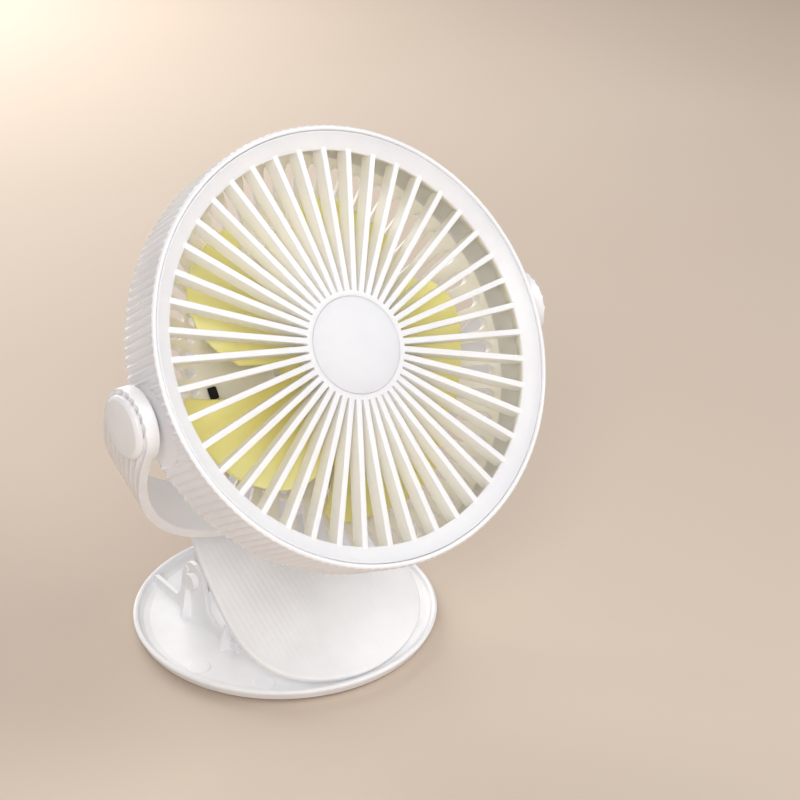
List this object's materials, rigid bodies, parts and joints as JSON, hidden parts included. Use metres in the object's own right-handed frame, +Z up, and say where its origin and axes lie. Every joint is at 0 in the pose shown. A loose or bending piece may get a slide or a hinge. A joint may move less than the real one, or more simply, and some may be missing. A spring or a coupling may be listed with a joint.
{
  "type": "clip-on desk fan",
  "caption": "Portable clip-on desk fan: round ribbed head with a radial guard and yellow impeller, tilting in a swivelling U yoke on a spring clip with a round base.",
  "frame": {"origin": "centre of the underside of the base pad, on the surface the fan stands on", "axes": "+Z up, the fan faces -Y and upwards, +X to the right seen from the front; the yoke, jaw and head are at their pictured pose"},
  "size_m": [0.168, 0.146, 0.1945],
  "materials": {
    "white_gloss": "glossy moulded white",
    "white_satin": "satin moulded white",
    "yellow_plastic": "satin moulded pale yellow",
    "steel": "plain",
    "copper": "enamelled wire",
    "bronze": "sintered",
    "board_green": "solder mask",
    "cell_wrap": "heat-shrink film",
    "clear": "clear",
    "black_plastic": "matte",
    "black_rubber": "matte",
    "grey_rubber": "matte"
  },
  "bodies": {
    "base": {"base_dish": "white_satin", "base_pad": "grey_rubber", "hinge_pin": "white_satin", "hinge_clip": "steel", "clip_spring": "steel"},
    "jaw": {"clip_jaw": "white_satin", "jaw_grip_strip": "grey_rubber"},
    "yoke": {"yoke": "white_satin", "pivot_cap_left": "white_gloss", "pivot_cap_right": "white_gloss", "friction_washers": "black_rubber", "swivel_post": "white_satin", "swivel_washer": "steel", "swivel_screw": "steel"},
    "head": {"front_grille": "white_gloss", "hub_cover": "white_gloss", "ribbed_rim": "white_satin", "rear_shell": "white_satin", "rear_pod": "white_satin", "pod_screws": "steel", "motor_can": "steel", "motor_windings": "copper", "motor_bearing": "bronze", "control_board": "board_green", "battery_cell": "cell_wrap", "charging_inlet": "steel", "light_pipe": "clear", "tact_switch": "black_plastic", "window_plug": "black_rubber", "pivot_screws": "steel"},
    "rotor": {"impeller": "yellow_plastic", "motor_shaft": "steel"},
    "button": {"speed_button": "white_gloss"}
  },
  "joints": [
    {"name": "jaw_hinge", "type": "hinge", "parent": "base", "child": "jaw", "pos_m": [0, 0.014, 0.02], "axis": [-1, 0, 0], "range_deg": [0, 30], "stiffness_Nm_per_rad": 0.4, "springref_deg": -40.11, "deforming": ["clip_spring"]},
    {"name": "yoke_swivel", "type": "hinge", "parent": "jaw", "child": "yoke", "pos_m": [0, -0.03583, 0.1209], "axis": [0, -0.5, 0.866], "range_deg": [-180, 180]},
    {"name": "head_tilt", "type": "hinge", "parent": "yoke", "child": "head", "pos_m": [0, -0.03583, 0.1209], "axis": [-1, 0, 0], "range_deg": [-60, 55]},
    {"name": "fan_spin", "type": "hinge", "parent": "head", "child": "rotor", "pos_m": [0, -0.0463, 0.1305], "axis": [0, -0.8406, 0.5417], "continuous": true},
    {"name": "button_press", "type": "slide", "parent": "head", "child": "button", "axis": [0, -0.8406, 0.5417], "range_m": [0, 0.0008], "stiffness_N_per_m": 900}
  ]
}
